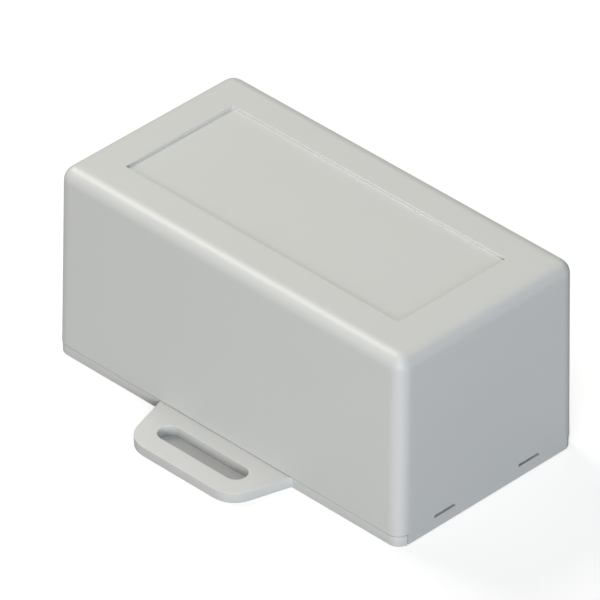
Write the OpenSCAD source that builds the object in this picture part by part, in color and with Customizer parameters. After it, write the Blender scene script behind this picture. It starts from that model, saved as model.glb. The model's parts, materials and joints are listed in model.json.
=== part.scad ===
// Two-piece snap-together project box: a deep drafted cover that clips down over
// a flat base plate.  The plate carries two slotted screw lugs, one halfway along
// each long side, and four bosses for a circuit board.
//
// X runs along the box, Y across it, Z up.  The origin is on the resting plane,
// under the middle of the box.  Millimetres and degrees.

/* [Cover] */
// Length over the end walls at the resting plane
cover_l = 80; // [64:1:120]
// Width over the long walls at the resting plane
cover_w = 42; // [38:1:80]
// Height of the top above the resting plane
cover_h = 37.2; // [24:0.1:60]
// Thickness of the side and end walls
wall = 2; // [1.4:0.1:2.6]
// Thickness of the top around the label recess
top_t = 2.5; // [1.6:0.1:4]
// Lean of every wall, so that the cover leaves its mould
draft = 0.7; // [0.2:0.1:1.5]
// Radius of the four upright corners
corner_r = 2.3; // [1.5:0.1:4]
// Radius of the rounded edge around the top
top_r = 2.2; // [0.6:0.1:3]
// Radius of the upright corners inside the cover
inner_corner_r = 1; // [0.5:0.1:2]
// Height of the end skirts' lower edge above the resting plane
skirt_lift = 0.1; // [0.05:0.05:0.5]

/* [Label recess] */
// Margin between the recess and the ends of the top
label_margin_x = 8.4; // [4:0.1:16]
// Margin between the recess and the long edges of the top
label_margin_y = 8.1; // [4:0.1:14]
// Depth of the recess
label_depth = 0.5; // [0.2:0.1:1]
// Radius of the recess corners
label_corner_r = 0.6; // [0.2:0.1:3]

/* [Base plate] */
// Thickness of the plate and of its lugs
plate_t = 2; // [1.6:0.1:3]
// How far the plate's edge lies inside the cover's foot
plate_inset = 0.1; // [0:0.05:0.5]
// Radius of the plate's corners
plate_corner_r = 2.3; // [1.5:0.1:4]
// Running gap between the plate and the cover
fit_gap = 0.15; // [0.05:0.05:0.4]
// Gap between the side of a skirt and its notch in the plate
skirt_gap = 0.08; // [0.04:0.02:0.3]
// Thickness of the ribs that locate the long walls
rib_t = 1.2; // [0.8:0.1:2]
// Height of those ribs above the plate
rib_h = 2.2; // [1:0.1:5]
// Distance from each end of the plate to the end of a rib
rib_end = 9; // [5:0.5:16]
// Slope taken off the top outer edge of a rib, as lead-in
rib_lead = 0.5; // [0.2:0.1:0.7]

/* [Screw lugs] */
// Reach of a lug beyond the plate's edge
lug_out = 11.2; // [9:0.1:18]
// Width of a lug where it leaves the plate
lug_root_w = 30.6; // [26:0.1:40]
// Width of a lug at its outer edge, before rounding
lug_tip_w = 24; // [22:0.1:30]
// Radius of a lug's outer corners
lug_corner_r = 5; // [1:0.1:6]
// Length of the slot, end to end
slot_l = 19.6; // [10:0.1:20]
// Width of the slot
slot_w = 4.2; // [3:0.1:5.5]
// Distance from the plate's edge to the slot's centre line
slot_out = 5.3; // [4.5:0.1:6]

/* [Snap catches] */
// Distance between the two catches at each end
catch_pitch = 20; // [14:0.5:22]
// Width of a catch
catch_w = 4.9; // [3:0.1:7]
// Height of a catch's flat underside above the resting plane
catch_z = 1.5; // [1:0.1:1.5]
// Thickness of a catch at its nose
catch_nose_t = 0.7; // [0.4:0.1:1]
// Thickness of a catch at its root
catch_root_t = 1.2; // [1:0.1:2]
// Thickness of the skirt left in front of a catch
lip_t = 1; // [0.6:0.1:1.2]
// Clearance between a catch's nose and that lip
nose_gap = 0.15; // [0.05:0.05:0.3]
// Clearance at the sides of a catch
pocket_side_gap = 0.15; // [0.05:0.05:0.4]
// Clearance under a catch
pocket_low_gap = 0.05; // [0:0.05:0.2]
// Height of the slit that opens above the lip
slit_h = 0.65; // [0.4:0.05:1.5]
// Lead-in slope inside the end skirt's lower edge
skirt_lead = 0.8; // [0.3:0.1:1.2]

/* [Board bosses] */
// Distance from the plate's end to a boss centre
boss_end = 11.4; // [8:0.1:20]
// Distance from the plate's long edge to a boss centre
boss_side = 8.9; // [7:0.1:12]
// Outside diameter of a boss
boss_d = 5; // [4:0.1:7]
// Height of a boss above the plate
boss_h = 5; // [3:0.5:12]
// Diameter of the pilot hole for the board screw
pilot_d = 2.2; // [1.5:0.1:3]
// Plate left under the pilot hole
pilot_floor = 1; // [0.6:0.1:1.4]
// Height and spread of the flare at the foot of a boss
boss_foot = 0.8; // [0.3:0.1:1.5]

/* [Hidden] */

SMOOTH = 32;            // segments round a corner of the moulded cover
ARC_STEPS = 8;          // steps across the rounded top edge
CUT = 1;                // how far a cutting tool runs past the face it opens
$fn = 64;

lean = tan(draft);
edge_r = min(top_r, corner_r, top_t);
top_l = cover_l - 2 * cover_h * lean;
top_w = cover_w - 2 * cover_h * lean;
label_l = top_l - 2 * label_margin_x;
label_w = top_w - 2 * label_margin_y;
ceiling = cover_h - top_t;

plate_l = cover_l - 2 * plate_inset;
plate_w = cover_w - 2 * plate_inset;
skirt_w = cover_w - 2 * max(corner_r, wall);
inner_end = cover_l / 2 - wall;
inner_side = cover_w / 2 - wall;
tongue_end = inner_end - fit_gap;

pocket_w = catch_w + 2 * pocket_side_gap;
pocket_low = catch_z - pocket_low_gap;
slit_low = catch_z + catch_nose_t;
slit_top = slit_low + slit_h;
lip_inner = cover_l / 2 - lip_t;
nose_x = lip_inner - nose_gap;

boss_x = plate_l / 2 - boss_end;
boss_y = plate_w / 2 - boss_side;
rib_l = plate_l - 2 * rib_end;
rib_outer = inner_side - plate_t * lean - fit_gap - rib_h * lean;

lug_angle = atan((lug_root_w - lug_tip_w) / 2 / lug_out);
lug_arc_y = lug_out - lug_corner_r;
lug_arc_x = lug_root_w / 2 - (lug_corner_r + lug_arc_y * sin(lug_angle)) / cos(lug_angle);

// Flat rounded rectangle, centred
module rounded_rect(l, w, r) {
  square([l - 2 * r, w], center = true);
  square([l, w - 2 * r], center = true);
  for (x = [-1, 1], y = [-1, 1])
    translate([x * (l / 2 - r), y * (w / 2 - r)]) circle(r);
}

// Flat slot with round ends, lying along X
module slot_shape(l, w) {
  square([l - w, w], center = true);
  for (x = [-1, 1])
    translate([x * (l - w) / 2, 0]) circle(d = w);
}

// One rounded top corner: a disc whose upper rim is a quarter circle
module top_corner(r, rim) {
  arc = [for (i = [0:ARC_STEPS])
    let (a = 90 * i / ARC_STEPS) [r - rim + rim * cos(a), rim * sin(a)]];
  rotate_extrude($fn = SMOOTH) polygon(concat([[0, 0]], arc, [[0, rim]]));
}

// Drafted block with upright corners of radius r and a top edge of radius rim.
// Its foot at z = foot measures l by w at z = 0 and leans in as it rises.
module drafted_block(l, w, foot, top, r, rim) {
  foot_in = foot * lean + r;
  top_in = (top - rim) * lean + r;
  hull() {
    for (x = [-1, 1], y = [-1, 1]) {
      translate([x * (l / 2 - foot_in), y * (w / 2 - foot_in), foot])
        cylinder(r = r, h = 0.01, $fn = SMOOTH);
      translate([x * (l / 2 - top_in), y * (w / 2 - top_in), top - rim])
        top_corner(r, rim);
    }
  }
}

// Repeats its children at the four catch positions, each turned to face outwards
module at_catches() {
  for (turn = [0, 180], y = [-1, 1])
    rotate([0, 0, turn]) translate([0, y * catch_pitch / 2, 0]) children();
}

// Everything below the seam that lies outside the two end skirts
module seam_cut() {
  side = cover_w / 2;
  between = inner_end - plate_t * lean;
  for (y = [-1, 1])
    translate([-cover_l, y * (skirt_w / 2 + side / 2) - side / 2, -CUT])
      cube([2 * cover_l, side, plate_t + CUT]);
  translate([-between, -cover_w, -CUT])
    cube([2 * between, 2 * cover_w, plate_t + CUT]);
}

// Slope inside the lower edge of both end skirts
module skirt_lead_in() {
  for (turn = [0, 180])
    rotate([0, 0, turn]) translate([inner_end, skirt_w / 2 + CUT, 0]) rotate([90, 0, 0])
      linear_extrude(skirt_w + 2 * CUT)
        polygon([[-CUT, -CUT], [skirt_lead, -CUT], [skirt_lead, skirt_lift],
                 [0, skirt_lift + skirt_lead], [-CUT, skirt_lift + skirt_lead]]);
}

// Pocket inside a skirt that takes a catch's nose, and the slit that opens above it
module catch_pocket() {
  translate([inner_end - CUT, -pocket_w / 2, 0]) {
    translate([0, 0, pocket_low])
      cube([lip_inner - inner_end + CUT, pocket_w, slit_top - pocket_low]);
    translate([0, 0, slit_low])
      cube([wall + 2 * CUT, pocket_w, slit_h]);
  }
}

module cover() {
  color([0.74, 0.75, 0.74])
  difference() {
    drafted_block(cover_l, cover_w, skirt_lift, cover_h, corner_r, edge_r);
    drafted_block(cover_l - 2 * wall, cover_w - 2 * wall, -CUT, ceiling,
                  inner_corner_r, inner_corner_r);
    translate([0, 0, cover_h - label_depth]) linear_extrude(label_depth + CUT)
      rounded_rect(label_l, label_w, label_corner_r);
    seam_cut();
    skirt_lead_in();
    at_catches() catch_pocket();
  }
}

// Outline of a lug that reaches along +Y from the plate's edge at y = 0
module lug_shape() {
  side = [lug_arc_x + lug_corner_r * cos(lug_angle), lug_arc_y + lug_corner_r * sin(lug_angle)];
  polygon([[-lug_root_w / 2, -CUT], [-lug_root_w / 2, 0], [-side[0], side[1]],
           [-lug_arc_x, lug_out], [lug_arc_x, lug_out], side,
           [lug_root_w / 2, 0], [lug_root_w / 2, -CUT]]);
  for (x = [-1, 1])
    translate([x * lug_arc_x, lug_arc_y]) circle(lug_corner_r);
}

// Plate with its corners, end notches for the skirts, and both slotted lugs
module plate_shape() {
  notch = cover_l / 2 - tongue_end;
  difference() {
    union() {
      rounded_rect(plate_l, plate_w, plate_corner_r);
      for (turn = [0, 180])
        rotate(turn) translate([0, plate_w / 2]) lug_shape();
    }
    for (turn = [0, 180])
      rotate(turn) {
        translate([tongue_end, -skirt_w / 2 - skirt_gap])
          square([notch + CUT, skirt_w + 2 * skirt_gap]);
        translate([0, plate_w / 2 + slot_out]) slot_shape(slot_l, slot_w);
      }
  }
}

// Rib along one long wall, with its top outer edge sloped as a lead-in
module locating_rib() {
  translate([-rib_l / 2, 0, plate_t]) rotate([90, 0, 90])
    linear_extrude(rib_l)
      polygon([[rib_outer - rib_t, -plate_t / 2], [rib_outer, -plate_t / 2],
               [rib_outer, rib_h - rib_lead], [rib_outer - rib_lead, rib_h],
               [rib_outer - rib_t, rib_h]]);
}

// Catch on the plate's end: flat underneath, and ramped on top so that the cover slides over it
module snap_catch() {
  root = tongue_end - rib_t;
  translate([0, catch_w / 2, 0]) rotate([90, 0, 0])
    linear_extrude(catch_w)
      polygon([[root, catch_z], [nose_x, catch_z], [nose_x, catch_z + catch_nose_t],
               [tongue_end, catch_z + catch_root_t], [root, catch_z + catch_root_t]]);
}

module board_boss() {
  translate([0, 0, plate_t / 2]) cylinder(d = boss_d, h = boss_h + plate_t / 2);
  translate([0, 0, plate_t])
    cylinder(r1 = boss_d / 2 + boss_foot, r2 = boss_d / 2, h = boss_foot);
}

module base() {
  color([0.72, 0.73, 0.72])
  difference() {
    union() {
      linear_extrude(plate_t) plate_shape();
      for (turn = [0, 180])
        rotate([0, 0, turn]) locating_rib();
      at_catches() snap_catch();
      for (x = [-1, 1], y = [-1, 1])
        translate([x * boss_x, y * boss_y, 0]) board_boss();
    }
    for (x = [-1, 1], y = [-1, 1])
      translate([x * boss_x, y * boss_y, pilot_floor])
        cylinder(d = pilot_d, h = plate_t + boss_h);
  }
}

cover();
base();
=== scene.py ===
"""The looks of a small two-piece plastic project box: light grey moulded ABS, finely textured."""

import json
import math

import bpy
import numpy as np
from mathutils import Matrix, Vector
from mathutils.geometry import delaunay_2d_cdt


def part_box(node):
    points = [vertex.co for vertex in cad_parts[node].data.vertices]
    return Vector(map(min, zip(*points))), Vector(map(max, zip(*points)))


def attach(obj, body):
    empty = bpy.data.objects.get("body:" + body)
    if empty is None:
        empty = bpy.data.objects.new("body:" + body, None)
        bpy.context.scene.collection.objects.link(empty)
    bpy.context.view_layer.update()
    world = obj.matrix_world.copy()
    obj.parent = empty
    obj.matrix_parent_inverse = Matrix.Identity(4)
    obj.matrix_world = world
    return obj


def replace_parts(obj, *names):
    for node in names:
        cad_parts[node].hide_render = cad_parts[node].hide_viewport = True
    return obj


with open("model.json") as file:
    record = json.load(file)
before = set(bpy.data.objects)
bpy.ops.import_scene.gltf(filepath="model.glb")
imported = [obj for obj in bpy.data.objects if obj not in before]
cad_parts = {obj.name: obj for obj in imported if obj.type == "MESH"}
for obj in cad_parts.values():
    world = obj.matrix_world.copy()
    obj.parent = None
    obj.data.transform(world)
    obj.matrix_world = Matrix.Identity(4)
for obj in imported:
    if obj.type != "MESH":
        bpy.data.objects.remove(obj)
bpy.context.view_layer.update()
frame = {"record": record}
MM = 0.001

# ---------------------------------------------------------------- sizes, in millimetres

COVER_LO, COVER_HI = (np.array(corner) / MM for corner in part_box("cover"))
MOUNTS = {mount["name"]: mount for mount in frame["record"]["mounts"]}
LUG_SLOT = MOUNTS["lug_slot_back"]
BOSSES = MOUNTS["board_bosses"]
SOFT_EDGE = 0.1             # rounding of every edge that a mould leaves nearly sharp
FIT_GAP = 0.15

# the cover; its length and width are those of its walls carried down to the resting plane
WALL = 2.0
TOP_THICKNESS = 2.5
LEAN = math.tan(math.radians(0.7))       # draft of the walls
PLATE_T = LUG_SLOT["pos_m"][2] / MM
SKIRT_LIFT = COVER_LO[2]
LENGTH = COVER_HI[0] - COVER_LO[0] + 2 * SKIRT_LIFT * LEAN
WIDTH = COVER_HI[1] - COVER_LO[1] + 2 * PLATE_T * LEAN
HEIGHT = COVER_HI[2]
CORNER_R = 2.9              # reach of the upright roundings, which ease into the walls: see rounded_turn
TOP_R = 2.88                # reach of the rounding round the top
FULLNESS = 2.5
INNER_R = 0.38
SEAM_GAP = 0.1
WALL_FOOT = PLATE_T + SEAM_GAP           # the long walls stop just short of the plate
SKIRT_HALF = WIDTH / 2 - 2.3
SKIRT_LEAD = 0.8

# the label recess; without its reach it would be centred, and the reach moves only its far sides out
LABEL_MARGIN = np.array([8.4, 8.1])
LABEL_REACH = np.array([-0.3, 0.1])
LABEL_FLOOR = MOUNTS["label_recess"]["pos_m"][2] / MM
LABEL_CORNER_R = 0.4
LABEL_EDGE = 0.15           # rounding of its rim

# the snap catches, the pockets that take them inside the end skirts, and the slits above them
CATCH_Y = 10.0
CATCH_W = 4.9
CATCH_Z = 1.5
CATCH_CORNER_R = 0.2
NOSE_T = 0.7
NOSE_GAP = 0.15
ROOT_T = 1.2
POCKET_W = 5.2
POCKET_LOW = 1.45
SLIT_LOW = CATCH_Z + NOSE_T
SLIT_TOP = 2.85
LIP_T = 1.0
LIP_X = LENGTH / 2 - LIP_T
NOSE_X = LIP_X - NOSE_GAP

# the base
PLATE_INSET = 0.1
PLATE_CORNER_R = 2.3
PLATE_X = LENGTH / 2 - PLATE_INSET
PLATE_Y = WIDTH / 2 - PLATE_INSET
PLATE_LEAN = math.tan(math.radians(2.5))   # the plate's long edges lean in towards the floor
TONGUE_X = LENGTH / 2 - WALL - FIT_GAP
NOTCH_Y = SKIRT_HALF + 0.04
NOTCH_CORNER_R = 0.18
TAB_CORNER_R = 0.2
TAB_TURN = math.radians(22)                # where in its turn a corner's rounding leaves the tab
LUG_TIP_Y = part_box("base")[1][1] / MM
LUG_ROOT_HALF = 15.3
LUG_TIP_HALF = 12.0
LUG_ROOT_R = 0.35
LUG_CORNER_R = 5.0
SLOT_Y = LUG_SLOT["pos_m"][1] / MM
SLOT_LENGTH = 19.6
SLOT_W = 4.2
RIB_HALF = PLATE_X - 9.0
RIB_T = 1.2
RIB_H = 2.2
RIB_LEAD = 0.5
RIB_FOOT = 0.25
RIB_CORNER_R = 0.3
BOSS_TOP = BOSSES["pos_m"][2] / MM
BOSS_X = BOSSES["dims"]["spacing_x_mm"] / 2
BOSS_Y = BOSSES["dims"]["spacing_y_mm"] / 2
BOSS_R = 2.5
BOSS_FOOT = 0.8
PILOT_R = BOSSES["dims"]["hole_r_mm"]
PILOT_MOUTH = 0.25
PILOT_FLOOR = 1.0

# ---------------------------------------------------------------- mesh helpers

SHARP_EDGE = math.radians(34)
FLAT_RING = 0.1             # a ring this far beyond a rounding lets the flat beside it shade flat


def grid_faces(rings, stations):
    """Quads that join each ring to the next, all the way round: (rings - 1, stations, 4)."""
    ring = np.arange(rings - 1)[:, None] * stations
    here = np.arange(stations)[None, :]
    after = (here + 1) % stations
    return np.stack([ring + here, ring + stations + here, ring + stations + after, ring + after],
                    axis=-1)


def new_piece(name, points, faces, material, body):
    """A mesh object from points in millimetres and lists of faces, which rides on a body."""
    mesh = bpy.data.meshes.new(name)
    mesh.from_pydata((np.asarray(points) * MM).tolist(), [], [list(map(int, face)) for face in faces])
    mesh.validate()
    mesh.shade_smooth()
    mesh.set_sharp_from_angle(angle=SHARP_EDGE)
    mesh.materials.append(material)
    piece = bpy.data.objects.new(name, mesh)
    bpy.context.scene.collection.objects.link(piece)
    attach(piece, body)
    return piece


def rounded_turn(degrees):
    """Points of a quarter turn of reach 1 that eases into its flats.

    A point is (cos a ** (2 / n), sin a ** (2 / n)).  The fullness n would be 2 for a circle; a larger n
    cuts the same corner from flats that end further out."""
    turn = np.stack([np.cos(np.radians(degrees)), np.sin(np.radians(degrees))], axis=-1)
    return np.clip(turn, 0, 1) ** (2 / FULLNESS)


def quarter_turn(radius, steps):
    """Points of a circular quarter turn: (radius cos a, radius sin a), a from 0 to 90 degrees."""
    angle = np.radians(np.linspace(0, 90, steps + 1))
    return radius * np.stack([np.cos(angle), np.sin(angle)], axis=-1)


SOFT_TURN = quarter_turn(SOFT_EDGE, 4)

# ---------------------------------------------------------------- the cover

# Stations of the cover's grid, closer where the surface turns.  END_SHARES and LONG_SHARES are shares of
# the straight half of an end wall, with the pockets' edges and middles, and of a long wall.
END_HALF = WIDTH / 2 - CORNER_R
POCKET_EDGES = CATCH_Y + np.array([-0.5, 0, 0.5]) * POCKET_W
END_PLACES = np.concatenate([[3.0], POCKET_EDGES, [15.0, END_HALF - 0.3, END_HALF]])
END_SHARES = np.concatenate([-END_PLACES[::-1], [0], END_PLACES]) / END_HALF
LONG_SHARES = np.linspace(1, -1, 17)[1:-1]
# angles in a rounding, and in an upright corner: the skirt's rounded lower corner, then the wall's own
TURN_DEGREES = np.array([0, 0.5, 1.5, 3, 5, 8, 12, 17, 23, 30, 37.5])
TURN_DEGREES = np.concatenate([TURN_DEGREES, [45], 90 - TURN_DEGREES[::-1]])
SKIRT_ROUND = np.radians([0, 30, 60, 90])
SKIRT_REACH = (SKIRT_HALF - END_HALF - SOFT_EDGE * (1 - np.sin(SKIRT_ROUND))) / CORNER_R
SKIRT_DEGREES = np.degrees(np.arcsin(SKIRT_REACH ** (FULLNESS / 2)))
SKIRT_SIDE = SKIRT_DEGREES[-1] + 0.05    # the wall begins just beside the skirt
CORNER_DEGREES = np.concatenate([SKIRT_DEGREES, [SKIRT_SIDE], TURN_DEGREES[TURN_DEGREES > SKIRT_SIDE]])


def cover_stations():
    """The walk round the cover.

    Each row is a station: its share of the straight parts along x and y, its vector in the corner's
    turn, and how much of an end skirt it is (1 on a skirt, 0 on a wall)."""

    def rows(*columns):
        return np.column_stack(np.broadcast_arrays(*columns)).astype(float)

    turn = rounded_turn(CORNER_DEGREES)
    climb = (1 - np.cos(SKIRT_ROUND)) * SOFT_EDGE / (PLATE_T - SKIRT_LIFT)
    skirt = np.zeros(len(turn))
    skirt[:len(climb)] = 1 - climb
    end = rows(1, END_SHARES, 1, 0, 1)
    corner = rows(1, 1, turn[:, 0], turn[:, 1], skirt)
    side = rows(LONG_SHARES, 1, 0, 1, 0)
    half = np.concatenate([end, corner, side, (corner * [-1, 1, -1, 1, 1])[::-1]])
    return np.concatenate([half, half * [-1, -1, -1, -1, 1]])


def wall_half(z, inset=0.0):
    """Half length and half width of a drafted wall at height z: the foot's less z times the lean."""
    return np.array([LENGTH / 2, WIDTH / 2]) - inset - z * LEAN


def cover_profile():
    """The section of the cover as rings, from the recess floor over the top, down outside and up inside.

    Each ring is (half length, half width, corner radius, height on a skirt, height on a wall, how far
    a skirt stands out from the ring, 1 where the pockets keep their true width, middle in x and y)."""
    rings = []

    def ring(half, radius, z, wall_z=None, skirt_out=0.0, pockets=0, middle=(0.0, 0.0)):
        on_wall_z = z if wall_z is None else wall_z
        rings.append([*half, radius, z, on_wall_z, skirt_out, pockets, *middle])

    # recess floor, its foot, and its wall rounded over into the top
    label_half = wall_half(HEIGHT) - LABEL_MARGIN + abs(LABEL_REACH)
    floor_half, floor_r = label_half - SOFT_EDGE, LABEL_CORNER_R - SOFT_EDGE
    ring(floor_half - 0.3, floor_r, LABEL_FLOOR, middle=LABEL_REACH)
    for out, up in SOFT_TURN[::-1]:
        ring(floor_half + out, floor_r + out, LABEL_FLOOR + SOFT_EDGE - up, middle=LABEL_REACH)
    rim_half, rim_r = label_half + LABEL_EDGE, LABEL_CORNER_R + LABEL_EDGE
    for out, up in quarter_turn(LABEL_EDGE, 8):
        ring(rim_half - out, rim_r - out, HEIGHT - LABEL_EDGE + up, middle=LABEL_REACH)
    ring(rim_half + FLAT_RING, rim_r, HEIGHT, middle=LABEL_REACH)
    # the large rounding round the top
    centre_z = HEIGHT - TOP_R
    centre = wall_half(centre_z) - TOP_R
    for out, up in TOP_R * rounded_turn(TURN_DEGREES[::-1]):
        ring(centre + out, CORNER_R - TOP_R + out, centre_z + up)
    # down the outside; below this level the rings crowd together on the walls, which stop at the seam
    level = SLIT_TOP + 1.0
    squeeze = (level - WALL_FOOT - 2 * SOFT_EDGE) / (level - SKIRT_LIFT - 2 * SOFT_EDGE)

    def on_wall(z):
        return level - (level - z) * squeeze

    for z in (level, SLIT_TOP, SLIT_LOW, SKIRT_LIFT + 2 * SOFT_EDGE):
        ring(wall_half(z), CORNER_R, z, on_wall(z))
    for out, up in SOFT_TURN:
        half = wall_half(SKIRT_LIFT) - SOFT_EDGE + out
        lift = SOFT_EDGE - up
        ring(half, CORNER_R - SOFT_EDGE + out, SKIRT_LIFT + lift, WALL_FOOT + lift)
    # across the lower edge and up the inside, past the skirt's lead-in slope
    for out, up in SOFT_TURN[::-1]:
        half = wall_half(SKIRT_LIFT, WALL) + SOFT_EDGE - out
        lift = SOFT_EDGE - up
        ring(half, INNER_R + SOFT_EDGE - out, SKIRT_LIFT + lift, WALL_FOOT + lift, SKIRT_LEAD - lift)
    for z in (SKIRT_LIFT + SKIRT_LEAD, POCKET_LOW, SLIT_LOW, SLIT_TOP, level):
        ring(wall_half(z, WALL), INNER_R, z, on_wall(z), pockets=1)
    # the rounding into the ceiling, which never closes its corners to a point
    ceiling = HEIGHT - TOP_THICKNESS
    least_r = 1e-3
    for out, up in quarter_turn(INNER_R, 4):
        ring(wall_half(ceiling, WALL) - INNER_R + out, out + least_r, ceiling - INNER_R + up)
    return np.array(rings)


def cover_surface():
    """The cover as one closed grid, and its profile.

    A point is the ring's half size less its corner radius, times the station's share of the straight
    part, plus the corner radius times the station's turn vector.  Its height blends the ring's skirt
    and wall heights."""
    stations, profile = cover_stations(), cover_profile()
    straight, turn, skirt = stations[:, :2], stations[:, 2:4], stations[:, 4]
    radius = profile[:, 2, None, None]
    flat = profile[:, None, :2] - radius
    points = np.empty((len(profile), len(stations), 3))
    points[..., :2] = flat * straight + radius * turn + profile[:, None, 7:9]
    points[..., 0] += np.sign(points[..., 0]) * profile[:, 5, None] * skirt
    near_pocket = abs(straight[:, 1]) * END_HALF < POCKET_EDGES[-1] + 0.1
    true_width = (profile[:, 6, None] > 0) & near_pocket
    points[..., 1] = np.where(true_width, straight[:, 1] * END_HALF, points[..., 1])
    points[..., 2] = profile[:, 4, None] + (profile[:, 3] - profile[:, 4])[:, None] * skirt
    return points, profile


def pocket_columns(stations):
    """First and last station of each of the four catch pockets."""
    where = END_SHARES * END_HALF
    first, last = ([np.argmin(abs(where - side * CATCH_Y - half)) for side in (-1, 1)]
                   for half in (-POCKET_W / 2, POCKET_W / 2))
    return [(a + turn, b + turn) for turn in (0, stations // 2) for a, b in zip(first, last)]


def make_cover(material):
    """The drafted, rounded cover with its label recess, end skirts, catch pockets and slits.

    A slit's quads are left out of the outer and the inner skin and a pocket's out of the inner skin
    alone; steps of quads line the hole between them."""
    points, profile = cover_surface()
    rings, stations = points.shape[:2]
    index = np.arange(rings * stations).reshape(rings, stations)
    keep = np.ones((rings - 1, stations), bool)

    def rings_at(z):
        found = np.flatnonzero(np.isclose(profile[:, 3], z, atol=1e-9))
        return found[0], found[-1]

    out_top, in_top = rings_at(SLIT_TOP)
    out_low, in_low = rings_at(SLIT_LOW)
    in_floor = rings_at(POCKET_LOW)[1]
    extra, lining = [], []
    for first, last in pocket_columns(stations):
        keep[out_top, first:last] = False
        keep[in_floor:in_top, first:last] = False
        walk = np.arange(first, last + 1)
        # two rows of new points on the lip's inner face: at the slit's foot and on the pocket's floor
        lip = points[[in_low, in_floor]][:, walk].copy()
        lip[..., 0] = np.sign(lip[..., 0]) * LIP_X
        start = rings * stations + sum(map(len, extra))
        extra.append(lip.reshape(-1, 3))
        lip_low, lip_floor = start + np.arange(2 * len(walk)).reshape(2, -1)
        # in under the slit's roof, down the pocket's open back, out over its floor, up the lip
        # and out over it
        steps = [index[out_top, walk], index[in_top, walk], index[in_low, walk],
                 index[in_floor, walk], lip_floor, lip_low, index[out_low, walk]]
        for upper, lower in ((0, 1), (3, 4), (4, 5), (5, 6)):
            row, below = steps[upper], steps[lower]
            lining.extend(np.stack([row[:-1], below[:-1], below[1:], row[1:]], axis=-1))
        lining.extend([[row[0] for row in steps][::-1], [row[-1] for row in steps]])
    shell = grid_faces(rings, stations)[keep]
    caps = [index[0], index[-1][::-1]]
    every_point = np.concatenate([points.reshape(-1, 3)] + extra)
    every_face = list(shell) + lining + caps
    return new_piece("cover_moulding", every_point, every_face, material, "cover")


# ---------------------------------------------------------------- the base


def round_corners(corners):
    """Arcs that round the corners (x, y, radius) of a polygon walked anticlockwise.

    Rows are (centre x, centre y, radius, first angle, last angle).  An outer corner turns left and its
    angle grows; an inner corner turns right and its angle falls."""
    corners = np.array(corners, float)
    here, radius = corners[:, :2], corners[:, 2]
    back = np.roll(here, 1, axis=0) - here
    on = np.roll(here, -1, axis=0) - here
    back /= np.linalg.norm(back, axis=1)[:, None]
    on /= np.linalg.norm(on, axis=1)[:, None]
    half_angle = np.arccos(np.clip((back * on).sum(axis=1), -1, 1)) / 2
    middle = back + on
    middle /= np.linalg.norm(middle, axis=1)[:, None]
    centre = here + middle * (radius / np.sin(half_angle))[:, None]
    side = np.sign(back[:, 1] * on[:, 0] - back[:, 0] * on[:, 1])
    away = np.arctan2(-middle[:, 1], -middle[:, 0])
    spread = side * (math.pi / 2 - half_angle)
    return np.column_stack([centre, radius, away - spread, away + spread])


def outline(arcs, inset=0.0, steps=8):
    """Points of an outline made of arcs and the straights between them, moved inwards by inset.

    An outer corner's radius shrinks by the inset and an inner corner's grows by it."""
    share = np.linspace(0, 1, steps + 1)[None, :]
    first, last = arcs[:, 3, None], arcs[:, 4, None]
    angle = first + (last - first) * share
    radius = arcs[:, 2, None] - np.sign(last - first) * inset
    x = arcs[:, 0, None] + radius * np.cos(angle)
    y = arcs[:, 1, None] + radius * np.sin(angle)
    return np.stack([x, y], axis=-1).reshape(-1, 2)


class Shell:
    """Points and faces of one moulding, gathered ring by ring."""

    def __init__(self):
        self.points = []
        self.faces = []
        self.count = 0

    def ring(self, xy, z):
        """Adds a closed ring of points at one height, or at one height each; returns their numbers."""
        points = np.column_stack([xy, np.broadcast_to(z, len(xy))])
        self.points.append(points)
        self.count += len(points)
        return np.arange(self.count - len(points), self.count)

    def skin(self, rings):
        """Joins rings of equal length, each to the next; outward when they climb anticlockwise."""
        rings = np.array(rings)
        here, above = rings[:-1], rings[1:]
        after, above_after = np.roll(here, -1, axis=1), np.roll(above, -1, axis=1)
        self.faces.extend(np.stack([here, after, above_after, above], axis=-1).reshape(-1, 4))

    def cap(self, loops, up=True):
        """Fills the flat face inside the first loop and outside the others, all anticlockwise."""
        numbers = np.concatenate(loops)
        flat = [Vector(xy) for xy in self.all_points()[numbers, :2].tolist()]
        starts = np.cumsum([0] + [len(loop) for loop in loops])
        inside_of = [list(range(start, start + len(loop))) for start, loop in zip(starts, loops)]
        _, _, triangles, _, _, owners = delaunay_2d_cdt(flat, [], inside_of, 1, 1e-6)
        kept = np.array([triangle for triangle, owner in zip(triangles, owners) if owner == [0]])
        self.faces.extend(numbers[kept if up else kept[:, ::-1]])

    def all_points(self):
        return np.concatenate(self.points)


def plate_corners():
    """Corners of the plate, its notches and its lugs, anticlockwise, as (x, y, radius).

    The line that touches a corner's rounding at the tab's turn meets the notch at the tab's tip and
    the long edge at the corner that is rounded."""
    centre = np.array([PLATE_X, PLATE_Y]) - PLATE_CORNER_R
    tab_x = centre[0] + PLATE_CORNER_R / math.cos(TAB_TURN)
    tab_x -= (NOTCH_Y - centre[1]) * math.tan(TAB_TURN)
    round_x = centre[0] + PLATE_CORNER_R * math.tan((math.pi / 2 - TAB_TURN) / 2)
    quarter = np.array([[TONGUE_X, NOTCH_Y, NOTCH_CORNER_R], [tab_x, NOTCH_Y, TAB_CORNER_R],
                        [round_x, PLATE_Y, PLATE_CORNER_R], [LUG_ROOT_HALF, PLATE_Y, LUG_ROOT_R],
                        [LUG_TIP_HALF, LUG_TIP_Y, LUG_CORNER_R]])
    half = np.concatenate([quarter, (quarter * [-1, 1, 1])[::-1]])
    return np.concatenate([half, half * [-1, -1, 1]])


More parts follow.
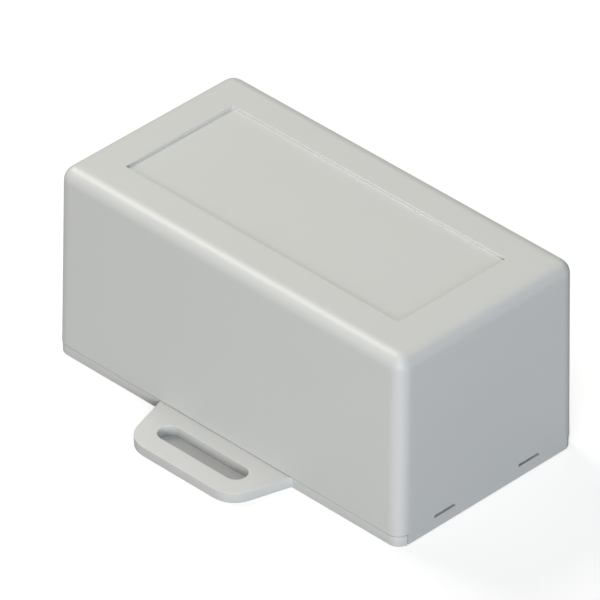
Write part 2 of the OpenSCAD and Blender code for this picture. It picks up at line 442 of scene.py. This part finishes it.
def slot_arcs(side):
    """The two round ends of a lug's slot; side is 1 for the back lug and -1 for the front one."""
    centre_x = (SLOT_LENGTH - SLOT_W) / 2
    quarter = math.pi / 2
    return np.array([[centre_x, side * SLOT_Y, SLOT_W / 2, -quarter, quarter],
                     [-centre_x, side * SLOT_Y, SLOT_W / 2, quarter, 3 * quarter]])


def rounded_slab(shell, arcs, low, high, hole=False, lean=0.0):
    """Skin of a flat slab's edge, rounded top and bottom, with one ring more on each face.

    For a hole the same walk is made outside the outline and the skin is turned round.  The long edges
    draw in by the lean times their depth below the upper face, and the notches not at all.  Returns
    both end rings."""
    sign = -1 if hole else 1
    flat_inset = SOFT_EDGE + FLAT_RING / 2
    out, up = SOFT_TURN.T
    insets = np.concatenate([[flat_inset], SOFT_EDGE - out[::-1], SOFT_EDGE - out, [flat_inset]])
    heights = np.concatenate([[low], low + SOFT_EDGE - up[::-1], high - SOFT_EDGE + up, [high]])
    rings = []
    for inset, z in zip(insets, heights):
        walk = outline(arcs, sign * inset, 16 if hole else 8)
        share = np.clip((abs(walk[:, 1]) - NOTCH_Y) / (PLATE_Y - NOTCH_Y), 0, 1)
        walk[:, 1] -= np.sign(walk[:, 1]) * lean * (high - z) * share
        rings.append(shell.ring(walk, z))
    shell.skin(rings[::-1] if hole else rings)
    return rings[0], rings[-1]


def circle(x, y, radius, count=48):
    """Points of a circle, anticlockwise."""
    angle = np.arange(count) * 2 * math.pi / count
    return np.stack([x + radius * np.cos(angle), y + radius * np.sin(angle)], axis=-1)


def board_boss(shell, x, y):
    """A boss with a curved flare at its foot and a blind pilot hole.  Returns its outer foot ring.

    The flare is a quarter circle: radius = boss + flare (1 - sin a), height = flare (1 - cos a)."""
    angle = np.radians(np.linspace(0, 90, 9))
    flare = BOSS_R + BOSS_FOOT * (1 - np.sin(angle))
    climb = PLATE_T + BOSS_FOOT * (1 - np.cos(angle))
    out, up = SOFT_TURN.T
    radii = [[flare[0] + FLAT_RING], flare, BOSS_R - SOFT_EDGE + out, [BOSS_R - 2 * FLAT_RING],
             # the pilot hole: its chamfered mouth, its wall and the bevel round its floor
             [PILOT_R + PILOT_MOUTH + FLAT_RING / 2, PILOT_R + PILOT_MOUTH],
             [PILOT_R, PILOT_R, PILOT_R, PILOT_R - 0.1]]
    heights = [[PLATE_T], climb, BOSS_TOP - SOFT_EDGE + up, [BOSS_TOP], [BOSS_TOP, BOSS_TOP],
               [BOSS_TOP - PILOT_MOUTH, BOSS_TOP - PILOT_MOUTH - 0.1, PILOT_FLOOR + 0.05, PILOT_FLOOR]]
    rings = [shell.ring(circle(x, y, radius), z)
             for radius, z in zip(np.concatenate(radii), np.concatenate(heights))]
    shell.skin(rings)
    shell.cap([rings[-1]])
    return rings[0]


def locating_rib(shell, side):
    """A rib along one long wall, its top outer edge sloped as a lead-in.  Returns its foot ring.

    Each ring is a rounded rectangle that grows over the foot, by foot (1 - sin a) at the height
    foot (1 - cos a), and shrinks over the top edge; the slope moves only the edge on the outer side."""
    outer = WIDTH / 2 - WALL - FIT_GAP - (PLATE_T + RIB_H) * LEAN
    angle = np.radians(np.linspace(0, 90, 5))
    # growth, slope and height of the flat ring and the flare, then of the side and the softened top
    foot = [[RIB_FOOT + FLAT_RING, 0, 0]]
    flare = np.column_stack([RIB_FOOT * (1 - np.sin(angle)), 0 * angle, RIB_FOOT * (1 - np.cos(angle))])
    top = [[0, 0, RIB_H - RIB_LEAD], [0, RIB_LEAD, RIB_H - 0.12], [-0.08, RIB_LEAD + 0.04, RIB_H - 0.04],
           [-0.16, RIB_LEAD + 0.06, RIB_H], [-0.2, RIB_LEAD + 0.06, RIB_H]]
    rings = []
    for grow, slope, climb in np.concatenate([foot, flare, top]):
        inner_y, outer_y = outer - RIB_T - grow, outer + grow - slope
        low, high = sorted([side * inner_y, side * outer_y])
        half, radius = RIB_HALF + grow, RIB_CORNER_R + grow
        corners = [[half, low, radius], [half, high, radius], [-half, high, radius], [-half, low, radius]]
        rings.append(shell.ring(outline(round_corners(corners), steps=6), PLATE_T + climb))
    shell.skin(rings)
    shell.cap([rings[-1]])
    return rings[0]


def snap_catch(shell, end, side):
    """A ramped catch on a tongue's end: flat underneath, sloped on top, every edge softened.

    Its section lies in XZ and is swept along Y, so the slab's plan is the section and its height is Y."""
    root = TONGUE_X - RIB_T
    corners = [[root, CATCH_Z], [NOSE_X, CATCH_Z], [NOSE_X, CATCH_Z + NOSE_T],
               [TONGUE_X, CATCH_Z + ROOT_T], [root, CATCH_Z + ROOT_T]]
    section = round_corners([[x, z, CATCH_CORNER_R] for x, z in corners])
    middle = side * CATCH_Y
    part = Shell()
    low, high = rounded_slab(part, section, middle - CATCH_W / 2, middle + CATCH_W / 2)
    part.cap([low], up=False)
    part.cap([high])
    points = part.all_points()
    numbers = shell.ring(np.column_stack([end * points[:, 0], points[:, 2]]), points[:, 1])
    order = 1 if end < 0 else -1
    shell.faces.extend(numbers[np.array(face)][::order] for face in part.faces)


def make_base(material):
    """The plate with its lugs, notches, ribs, bosses and catches."""
    shell = Shell()
    under, top = rounded_slab(shell, round_corners(plate_corners()), 0.0, PLATE_T, lean=PLATE_LEAN)
    slots = [rounded_slab(shell, slot_arcs(side), 0.0, PLATE_T, hole=True) for side in (-1, 1)]
    feet = [board_boss(shell, x, y) for x in (-BOSS_X, BOSS_X) for y in (-BOSS_Y, BOSS_Y)]
    feet += [locating_rib(shell, side) for side in (-1, 1)]
    shell.cap([under] + [low for low, high in slots], up=False)
    shell.cap([top] + [high for low, high in slots] + feet)
    for end in (-1, 1):
        for side in (-1, 1):
            snap_catch(shell, end, side)
    return new_piece("base_moulding", shell.all_points(), shell.faces, material, "base")


# ---------------------------------------------------------------- materials


class Signal:
    """What a shader node gives out.  Each sign between signals and numbers adds a Math node."""

    def __init__(self, nodes, socket):
        self.nodes = nodes
        self.socket = socket

    def __add__(self, other):
        return self.nodes.maths("ADD", self, other)

    __radd__ = __add__

    def __sub__(self, other):
        return self.nodes.maths("SUBTRACT", self, other)

    def __rsub__(self, other):
        return self.nodes.maths("SUBTRACT", other, self)

    def __mul__(self, other):
        return self.nodes.maths("MULTIPLY", self, other)

    __rmul__ = __mul__

    def __lt__(self, other):
        return self.nodes.maths("LESS_THAN", self, other)

    def __gt__(self, other):
        return self.nodes.maths("GREATER_THAN", self, other)


class Nodes:
    """The nodes of a material or of the world, which start as one output alone."""

    def __init__(self, owner, output="ShaderNodeOutputMaterial"):
        owner.use_nodes = True
        self.owner = owner
        self.tree = owner.node_tree
        self.tree.nodes.clear()
        self.output = self.tree.nodes.new(output)

    def node(self, kind, settings=None, inputs=None, output=0):
        """Adds a node, sets its settings, and sets or links its inputs by name or number."""
        node = self.tree.nodes.new(kind)
        for name, value in (settings or {}).items():
            setattr(node, name, value)
        for name, value in (inputs or {}).items():
            if isinstance(value, Signal):
                self.tree.links.new(value.socket, node.inputs[name])
            else:
                node.inputs[name].default_value = value
        return Signal(self, node.outputs[output])

    def maths(self, operation, first, second):
        """A Math node of two signals or numbers."""
        return self.node("ShaderNodeMath", {"operation": operation}, {0: first, 1: second})

    def vector(self, operation, inputs, output="Vector"):
        """A Vector Math node."""
        return self.node("ShaderNodeVectorMath", {"operation": operation}, inputs, output)

    def mix(self, share, first, second):
        """The first shader where the share is 0 and the second where it is 1."""
        return self.node("ShaderNodeMixShader", inputs={"Fac": share, 1: first, 2: second})

    def noise(self, place, size_mm, detail):
        """Noise from 0 to 1 whose lumps measure about size_mm."""
        return self.node("ShaderNodeTexNoise", {"noise_dimensions": "3D"},
                         {"Vector": place, "Scale": 1000 / size_mm, "Detail": detail, "Roughness": 0.5})

    def finish(self, surface):
        """Links the last shader to the output and returns the finished material or world."""
        self.tree.links.new(surface.socket, self.output.inputs["Surface"])
        return self.owner


ABS_GREY = (0.600, 0.604, 0.585)
ABS_ROUGHNESS = 0.45
ABS_IOR = 1.53
ROUGHNESS_PLAY = 0.03       # how far the clouds and the grain each move the roughness
TINT_PLAY = 0.01            # how far the clouds move the colour, either way
GRAIN_DEPTH = 0.02 * MM


def moulded_abs(name, shift):
    """Matte ABS as it leaves a spark-eroded mould; the shift, in metres, gives a piece its own grain.

    The bump's height is 0.65 of a coarse grain, about 0.3 mm across, and 0.35 of a fine one of 0.1 mm.
    Clouds about 15 mm across move the colour and the roughness, and the grain the roughness."""
    nodes = Nodes(bpy.data.materials.new(name))
    place = nodes.node("ShaderNodeTexCoord", output="Object")
    place = nodes.vector("ADD", {0: place, 1: (shift, -shift, shift)})
    clouds = nodes.noise(place, 15.0, 3.0)
    grain = 0.65 * nodes.noise(place, 0.32, 2.0) + 0.35 * nodes.noise(place, 0.11, 1.0)
    tint = (1 - TINT_PLAY) + 2 * TINT_PLAY * clouds
    shade = nodes.vector("SCALE", {0: ABS_GREY, "Scale": tint})
    gloss = (ABS_ROUGHNESS - ROUGHNESS_PLAY) + ROUGHNESS_PLAY * clouds + ROUGHNESS_PLAY * grain
    bump = nodes.node("ShaderNodeBump", inputs={
        "Strength": 0.5, "Distance": GRAIN_DEPTH, "Height": grain})
    return nodes.finish(nodes.node("ShaderNodeBsdfPrincipled", inputs={
        "Base Color": shade, "Roughness": gloss, "Normal": bump, "IOR": ABS_IOR}))


abs_cover = moulded_abs("abs_cover", 0.0)
abs_base = moulded_abs("abs_base", 0.31)
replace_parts(make_cover(abs_cover), "cover")
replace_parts(make_base(abs_base), "base")

# ---------------------------------------------------------------- floor, light and camera

FLOOR_REACH = 4.0           # metres
FLOOR_BOUNCE = 0.4          # its grey, as the box sees it
FLOOR_LIFT = 0.66           # what the camera sees beyond that
PAINTED_SHADE_X, PAINTED_SHADE_Y = 11 * MM, 29.5 * MM    # half size of the patch that isn't lifted, a painted shade under the box and in its lug slots
WHITE_FROM, WHITE_TO = 0.16, 0.5         # metres from the middle


def make_floor():
    """A plain pale floor, which keeps the box's shadow and turns plain white away from the box.

    The camera sees it lighter than its bounce lights the box, except on the patch under the box and
    its lug slots, where the missing lift is painted shade.  White share = smooth step of the distance from
    the middle."""
    mesh = bpy.data.meshes.new("floor")
    corners = [(x * FLOOR_REACH, y * FLOOR_REACH, 0) for x, y in ((-1, -1), (1, -1), (1, 1), (-1, 1))]
    mesh.from_pydata(corners, [], [(0, 1, 2, 3)])
    floor = bpy.data.objects.new("floor", mesh)
    bpy.context.scene.collection.objects.link(floor)
    nodes = Nodes(bpy.data.materials.new("floor"))
    place = nodes.node("ShaderNodeTexCoord", output="Object")
    distance = nodes.vector("LENGTH", {0: place}, "Value")
    far = nodes.node("ShaderNodeMapRange", {"interpolation_type": "SMOOTHSTEP"},
                     {"Value": distance, "From Min": WHITE_FROM, "From Max": WHITE_TO})
    off_middle = nodes.vector("ABSOLUTE", {0: place})
    off_x, off_y = (nodes.node("ShaderNodeSeparateXYZ", inputs={0: off_middle}, output=axis)
                    for axis in ("X", "Y"))
    # painted shade: under the box and its lug slots the camera sees the floor without its lift, darker
    # than the rest
    painted_shade_under_box = (off_x < PAINTED_SHADE_X) * (off_y < PAINTED_SHADE_Y)
    bounce = nodes.node("ShaderNodeBsdfDiffuse", inputs={"Color": (*[FLOOR_BOUNCE] * 3, 1)})
    glow = nodes.node("ShaderNodeEmission", inputs={"Strength": FLOOR_LIFT})
    lifted = nodes.node("ShaderNodeAddShader", inputs={0: bounce, 1: glow})
    white = nodes.node("ShaderNodeEmission", inputs={"Strength": 1.0})
    seen = nodes.mix(far, nodes.mix(1 - painted_shade_under_box, bounce, lifted), white)
    camera_ray = nodes.node("ShaderNodeLightPath", output="Is Camera Ray")
    mesh.materials.append(nodes.finish(nodes.mix(camera_ray, bounce, seen)))


LAMP_SIZE = 0.4
LAMP_DISTANCE = 1.2
LAMP_AIM = Vector((0, 0, 0.02))
# name, azimuth and elevation in degrees, watts, colour
LAMPS = [("key", 30, 62, 5.10, (0.985, 1.0, 0.965)),
         ("front", 42, 12, 9.05, (1.0, 1.0, 0.98)),
         ("right", 70, 12, 1.42, (0.0, 0.34, 1.0)),
         ("left", -88, 51, 5.95, (1.0, 0.945, 0.93)),
         ("far_left", -105, 36, 4.30, (0.935, 1.0, 0.87)),
         ("back", 165, 36, 1.20, (1, 1, 1))]


def direction(azimuth, elevation):
    """Unit vector from the box; azimuth 0 is in front of the long side and grows to the right."""
    flat = math.cos(elevation)
    return Vector((math.sin(azimuth) * flat, -math.cos(azimuth) * flat, math.sin(elevation)))


def make_lamp(name, azimuth, elevation, power, colour):
    """A soft square lamp aimed at the box."""
    toward = direction(math.radians(azimuth), math.radians(elevation))
    lamp = bpy.data.lights.new(name, "AREA")
    lamp.shape = "SQUARE"
    lamp.size = LAMP_SIZE
    lamp.energy = power
    lamp.color = colour
    stand = bpy.data.objects.new(name, lamp)
    stand.location = toward * LAMP_DISTANCE + LAMP_AIM
    stand.rotation_euler = (-toward).to_track_quat("-Z", "Y").to_euler()
    bpy.context.scene.collection.objects.link(stand)


SKY_STRENGTH = 0.06


def make_world():
    """An even white sky, weak as light and plain white to the camera."""
    world = bpy.data.worlds.new("studio")
    bpy.context.scene.world = world
    nodes = Nodes(world, "ShaderNodeOutputWorld")
    sky, white = (nodes.node("ShaderNodeBackground", inputs={"Color": (1, 1, 1, 1), "Strength": strength})
                  for strength in (SKY_STRENGTH, 1.0))
    camera_ray = nodes.node("ShaderNodeLightPath", output="Is Camera Ray")
    nodes.finish(nodes.mix(camera_ray, sky, white))


# the main view: azimuth, elevation and roll in degrees, distance and aim in metres
CAMERA_TURN = 44.37, 35.27, 0.37
CAMERA_DISTANCE = 1.6433
CAMERA_AIM = Vector((-2.294, -1.142, 19.114)) * MM
LENS_MM = 595.4
SENSOR_MM = 36.0


def make_camera():
    """The camera, turned so that its own axes are the side, the upright and the line back from the aim."""
    azimuth, elevation, roll = map(math.radians, CAMERA_TURN)
    back = direction(azimuth, elevation)
    right = Vector((math.cos(azimuth), math.sin(azimuth), 0))
    side = math.cos(roll) * right + math.sin(roll) * back.cross(right)
    data = bpy.data.cameras.new("camera")
    data.lens = LENS_MM
    data.sensor_width = SENSOR_MM
    data.clip_end = 20.0
    camera = bpy.data.objects.new("camera", data)
    turn = Matrix((side, back.cross(side), back)).transposed().to_4x4()
    camera.matrix_world = Matrix.Translation(CAMERA_AIM + back * CAMERA_DISTANCE) @ turn
    bpy.context.scene.collection.objects.link(camera)
    bpy.context.scene.camera = camera


make_floor()
make_world()
for lamp in LAMPS:
    make_lamp(*lamp)
make_camera()
bpy.context.scene.view_settings.view_transform = "Standard"
